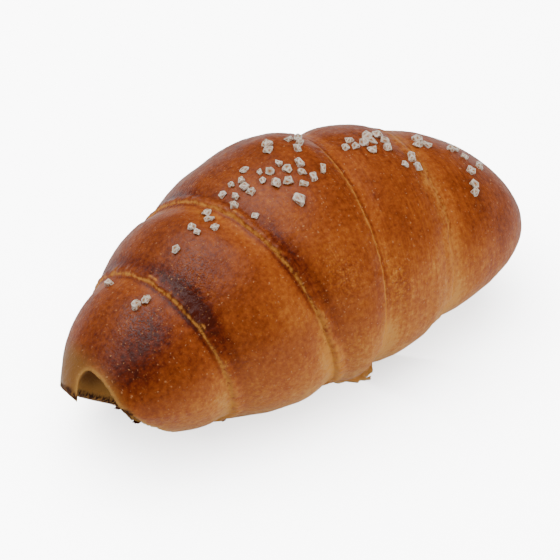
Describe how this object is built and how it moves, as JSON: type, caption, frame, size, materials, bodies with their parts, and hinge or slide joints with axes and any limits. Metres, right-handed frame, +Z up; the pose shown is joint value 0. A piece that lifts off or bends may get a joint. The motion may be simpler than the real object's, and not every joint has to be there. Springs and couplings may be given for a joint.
{
  "type": "salt bread roll",
  "caption": "Baked crescent-dough roll with overlapping spiral wraps, a low open hollow at one end, a glazed crust and coarse salt strewn on its crest.",
  "frame": {"origin": "middle of the roll's box, on the table that its base rests on", "axes": "+X along the roll, away from the end with the hollow; +Z up, out of the salted crest; -Y is the side towards which both ends curve"},
  "size_m": [0.126, 0.0673, 0.0552],
  "materials": {
    "crust": "satin, egg-washed baked crust, golden brown to chestnut with pale seams",
    "salt": "coarse translucent salt crystals"
  },
  "bodies": {
    "root": {"salt_bread": "crust"}
  },
  "joints": []
}
